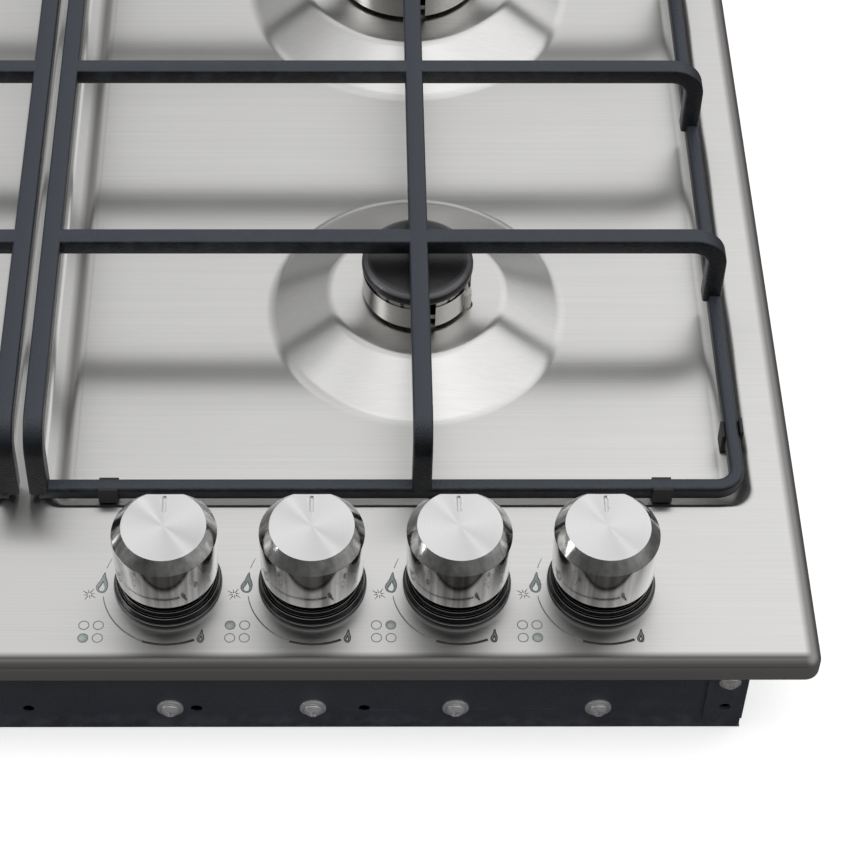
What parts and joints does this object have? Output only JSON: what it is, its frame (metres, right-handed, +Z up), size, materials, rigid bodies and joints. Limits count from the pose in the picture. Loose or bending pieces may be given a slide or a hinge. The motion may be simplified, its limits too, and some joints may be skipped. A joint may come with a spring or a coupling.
{
  "type": "gas cooktop",
  "caption": "Built-in stainless steel gas cooktop with pressed wells, raised burner seats, front control knobs and lift-off bar pan supports.",
  "frame": {"origin": "middle of the underside of the lower case", "axes": "+X to the right seen from the knobs, +Y to the rear, +Z up"},
  "size_m": [0.58, 0.5, 0.0914],
  "materials": {
    "brushed_plate": "brushed",
    "case_coating": "satin, fine grain",
    "foam": "matt foam",
    "zinc_steel": "zinc plated",
    "tap_brass": "machined",
    "bezel_plastic": "satin",
    "knob_metal": "polished, spun face",
    "crown_aluminium": "polished",
    "cap_enamel": "satin enamel",
    "cast_aluminium": "cast",
    "pipe_aluminium": "drawn",
    "support_enamel": "matt speckled enamel",
    "foot_rubber": "matt",
    "spring_steel": "drawn wire",
    "turned_steel": "turned",
    "electrode_ceramic": "glazed",
    "generator_case": "moulded",
    "lead_sleeve": "satin sleeve"
  },
  "bodies": {
    "hob": {"burner_cup_front_left": "cast_aluminium", "burner_cup_front_right": "cast_aluminium", "burner_cup_rear_left": "cast_aluminium", "burner_cup_rear_right": "cast_aluminium", "burner_pipes": "pipe_aluminium", "clip_screws": "zinc_steel", "corner_screws": "zinc_steel", "fixing_clips": "zinc_steel", "front_wall": "case_coating", "gas_rail": "zinc_steel", "ignition_leads": "lead_sleeve", "ignition_switch_strip": "bezel_plastic", "injectors": "tap_brass", "inlet_elbow": "tap_brass", "knob_bezels": "bezel_plastic", "lower_case": "case_coating", "mains_gland": "bezel_plastic", "rail_screws": "zinc_steel", "spark_electrodes": "electrode_ceramic", "spark_generator": "generator_case", "supply_pipe": "pipe_aluminium", "tap_1": "tap_brass", "tap_2": "tap_brass", "tap_3": "tap_brass", "tap_4": "tap_brass", "tap_spring_1": "spring_steel", "tap_spring_2": "spring_steel", "tap_spring_3": "spring_steel", "tap_spring_4": "spring_steel", "thermocouples": "turned_steel", "top_plate": "brushed_plate", "worktop_seal": "foam"},
    "push_1": {"push_pin_1": "turned_steel"},
    "knob_1": {"knob_1": "knob_metal", "spindle_1": "turned_steel"},
    "push_2": {"push_pin_2": "turned_steel"},
    "knob_2": {"knob_2": "knob_metal", "spindle_2": "turned_steel"},
    "push_3": {"push_pin_3": "turned_steel"},
    "knob_3": {"knob_3": "knob_metal", "spindle_3": "turned_steel"},
    "push_4": {"push_pin_4": "turned_steel"},
    "knob_4": {"knob_4": "knob_metal", "spindle_4": "turned_steel"},
    "crown_front_left": {"burner_crown_front_left": "crown_aluminium"},
    "cap_front_left": {"burner_cap_front_left": "cap_enamel"},
    "crown_rear_left": {"burner_crown_rear_left": "crown_aluminium"},
    "cap_rear_left": {"burner_cap_rear_left": "cap_enamel"},
    "crown_rear_right": {"burner_crown_rear_right": "crown_aluminium"},
    "cap_rear_right": {"burner_cap_rear_right": "cap_enamel"},
    "crown_front_right": {"burner_crown_front_right": "crown_aluminium"},
    "cap_front_right": {"burner_cap_front_right": "cap_enamel"},
    "support_left": {"pan_support_left": "support_enamel", "support_feet_left": "foot_rubber"},
    "support_right": {"pan_support_right": "support_enamel", "support_feet_right": "foot_rubber"}
  },
  "joints": [
    {"name": "knob_1_push", "type": "slide", "parent": "hob", "child": "push_1", "axis": [0, 0, -1], "range_m": [0, 0.004], "stiffness_N_per_m": 1200, "springref_m": -0.004, "deforming": ["tap_spring_1"]},
    {"name": "knob_1_turn", "type": "hinge", "parent": "push_1", "child": "knob_1", "pos_m": [0.0555, -0.2144, 0.08], "axis": [0, 0, 1], "range_deg": [0, 210]},
    {"name": "knob_2_push", "type": "slide", "parent": "hob", "child": "push_2", "axis": [0, 0, -1], "range_m": [0, 0.004], "stiffness_N_per_m": 1200, "springref_m": -0.004, "deforming": ["tap_spring_2"]},
    {"name": "knob_2_turn", "type": "hinge", "parent": "push_2", "child": "knob_2", "pos_m": [0.108, -0.2144, 0.08], "axis": [0, 0, 1], "range_deg": [0, 210]},
    {"name": "knob_3_push", "type": "slide", "parent": "hob", "child": "push_3", "axis": [0, 0, -1], "range_m": [0, 0.004], "stiffness_N_per_m": 1200, "springref_m": -0.004, "deforming": ["tap_spring_3"]},
    {"name": "knob_3_turn", "type": "hinge", "parent": "push_3", "child": "knob_3", "pos_m": [0.1605, -0.2144, 0.08], "axis": [0, 0, 1], "range_deg": [0, 210]},
    {"name": "knob_4_push", "type": "slide", "parent": "hob", "child": "push_4", "axis": [0, 0, -1], "range_m": [0, 0.004], "stiffness_N_per_m": 1200, "springref_m": -0.004, "deforming": ["tap_spring_4"]},
    {"name": "knob_4_turn", "type": "hinge", "parent": "push_4", "child": "knob_4", "pos_m": [0.213, -0.2144, 0.08], "axis": [0, 0, 1], "range_deg": [0, 210]},
    {"name": "crown_front_left_lift", "type": "slide", "parent": "hob", "child": "crown_front_left", "axis": [0, 0, 1], "range_m": [0, 0.0024]},
    {"name": "cap_front_left_lift", "type": "slide", "parent": "crown_front_left", "child": "cap_front_left", "axis": [0, 0, 1], "range_m": [0, 0.0024]},
    {"name": "crown_rear_left_lift", "type": "slide", "parent": "hob", "child": "crown_rear_left", "axis": [0, 0, 1], "range_m": [0, 0.0024]},
    {"name": "cap_rear_left_lift", "type": "slide", "parent": "crown_rear_left", "child": "cap_rear_left", "axis": [0, 0, 1], "range_m": [0, 0.0024]},
    {"name": "crown_rear_right_lift", "type": "slide", "parent": "hob", "child": "crown_rear_right", "axis": [0, 0, 1], "range_m": [0, 0.0024]},
    {"name": "cap_rear_right_lift", "type": "slide", "parent": "crown_rear_right", "child": "cap_rear_right", "axis": [0, 0, 1], "range_m": [0, 0.0024]},
    {"name": "crown_front_right_lift", "type": "slide", "parent": "hob", "child": "crown_front_right", "axis": [0, 0, 1], "range_m": [0, 0.0024]},
    {"name": "cap_front_right_lift", "type": "slide", "parent": "crown_front_right", "child": "cap_front_right", "axis": [0, 0, 1], "range_m": [0, 0.0024]},
    {"name": "support_left_lift", "type": "slide", "parent": "hob", "child": "support_left", "axis": [0, 0, 1], "range_m": [0, 0.06]},
    {"name": "support_right_lift", "type": "slide", "parent": "hob", "child": "support_right", "axis": [0, 0, 1], "range_m": [0, 0.06]}
  ]
}
